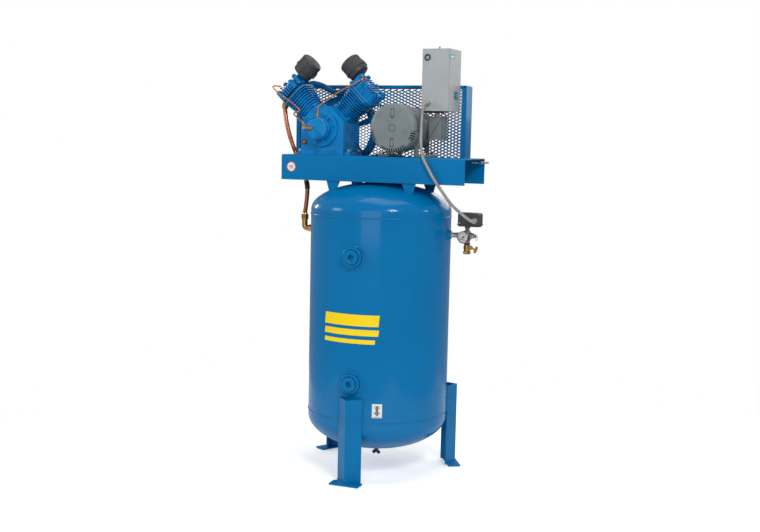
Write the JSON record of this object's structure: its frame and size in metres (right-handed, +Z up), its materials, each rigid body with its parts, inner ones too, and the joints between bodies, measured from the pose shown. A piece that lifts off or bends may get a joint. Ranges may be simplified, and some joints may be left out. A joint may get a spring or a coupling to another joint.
{
  "type": "vertical tank compressor",
  "caption": "Upright blue air compressor: a vertical receiver on legs carries a platform with a belt-driven V-twin pump, motor, mesh guard and starter box.",
  "frame": {"origin": "on the floor under the tank's axis, at the centre of the three anchor holes", "axes": "+Z up along the tank's axis, +X to the motor and starter side, front (oil pump covers, inspection ports) faces -Y"},
  "size_m": [0.9582, 0.6757, 1.837],
  "materials": {
    "blue_tank_paint": "satin",
    "blue_cast_iron": "satin",
    "grey_motor_paint": "satin",
    "bare_steel": "satin",
    "aluminium_casting": "satin",
    "black_plastic": "matte",
    "filter_paper": "matte",
    "copper_winding": "satin",
    "copper_tube": "satin",
    "black_rubber": "matte",
    "dark_cast_iron": "satin",
    "grey_box_paint": "satin",
    "cyan_plastic": "satin",
    "zinc_steel": "satin",
    "grey_conduit": "satin",
    "brass": "satin"
  },
  "bodies": {
    "base": {"tank_shell": "blue_tank_paint", "top_head": "blue_tank_paint", "bottom_head": "blue_tank_paint", "tank_couplings": "blue_tank_paint", "inspection_plugs": "blue_tank_paint", "tank_legs": "blue_tank_paint", "tank_saddles": "blue_tank_paint", "base_pan": "blue_tank_paint", "guard_frame": "blue_tank_paint", "guard_mesh": "blue_tank_paint", "crankcase": "blue_cast_iron", "front_cover": "blue_cast_iron", "oil_pump_housing": "blue_cast_iron", "left_cylinder": "blue_cast_iron", "right_cylinder": "blue_cast_iron", "left_head": "blue_cast_iron", "right_head": "blue_cast_iron", "valve_plates": "blue_cast_iron", "head_bolts": "blue_cast_iron", "crossover_tube": "blue_cast_iron", "motor_frame": "grey_motor_paint", "motor_end_bells": "grey_motor_paint", "fan_cover": "grey_motor_paint", "motor_feet": "grey_motor_paint", "junction_box": "grey_motor_paint", "ball_bearings": "bare_steel", "mounting_bolts": "bare_steel", "gauge_case": "bare_steel", "sight_glass": "bare_steel", "intake_filters": "black_plastic", "contactor": "black_plastic", "pressure_switch": "black_plastic", "filter_elements": "filter_paper", "stator": "copper_winding", "discharge_tube": "copper_tube", "unloader_tubes": "copper_tube", "v_belts": "black_rubber", "starter_box": "grey_box_paint", "starter_cover": "grey_box_paint", "conduit_fittings": "zinc_steel", "pipe_manifold": "zinc_steel", "drain_valve_body": "zinc_steel", "control_conduit": "grey_conduit", "brass_fittings": "brass", "relief_valve": "brass", "outlet_valve": "brass"},
    "crank": {"crankshaft": "bare_steel", "flywheel": "blue_cast_iron"},
    "motor_rotor": {"rotor_shaft": "bare_steel", "cooling_fan": "black_plastic", "motor_pulley": "dark_cast_iron"},
    "left_piston_set": {"left_piston": "aluminium_casting", "left_connecting_rod": "bare_steel"},
    "right_piston_set": {"right_piston": "aluminium_casting", "right_connecting_rod": "bare_steel"},
    "drain_wings": {"drain_valve_wings": "black_plastic"},
    "outlet_wheel": {"valve_handwheel": "brass"},
    "needle": {"gauge_needle": "black_plastic"},
    "relief_pull": {"relief_ring": "bare_steel"},
    "reset_plunger": {"reset_button": "cyan_plastic"}
  },
  "joints": [
    {"name": "crank_spin", "type": "hinge", "parent": "base", "child": "crank", "pos_m": [-0.255, 0, 1.477], "axis": [0, 1, 0], "continuous": true},
    {"name": "motor_spin", "type": "hinge", "parent": "base", "child": "motor_rotor", "pos_m": [0.096, 0, 1.4875], "axis": [0, 1, 0], "continuous": true},
    {"name": "left_piston_stroke", "type": "slide", "parent": "base", "child": "left_piston_set", "axis": [-0.7071, 0, 0.7071], "range_m": [-0.0576, 0.0123]},
    {"name": "right_piston_stroke", "type": "slide", "parent": "base", "child": "right_piston_set", "axis": [0.7071, 0, 0.7071], "range_m": [-0.0576, 0.0123]},
    {"name": "drain_turn", "type": "hinge", "parent": "base", "child": "drain_wings", "pos_m": [0, 0, 0.0576], "axis": [0, 0, -1], "range_deg": [0, 360]},
    {"name": "outlet_turn", "type": "hinge", "parent": "base", "child": "outlet_wheel", "pos_m": [0.388, 0.022, 0.996], "axis": [0.9397, 0, -0.342], "range_deg": [-1080, 0]},
    {"name": "gauge_sweep", "type": "hinge", "parent": "base", "child": "needle", "pos_m": [0.388, -0.034, 1.037], "axis": [0, 1, 0], "range_deg": [0, 270]},
    {"name": "relief_ring_pull", "type": "slide", "parent": "base", "child": "relief_pull", "axis": [1, 0, 0], "range_m": [0, 0.003], "stiffness_N_per_m": 2000, "springref_m": -0.001},
    {"name": "reset_push", "type": "slide", "parent": "base", "child": "reset_plunger", "axis": [-1, 0, 0], "range_m": [0, 0.003], "stiffness_N_per_m": 500, "springref_m": -0.001}
  ],
  "couplings": [
    {"joint": "motor_spin", "follows": "crank_spin", "ratio": 2.9808}
  ]
}
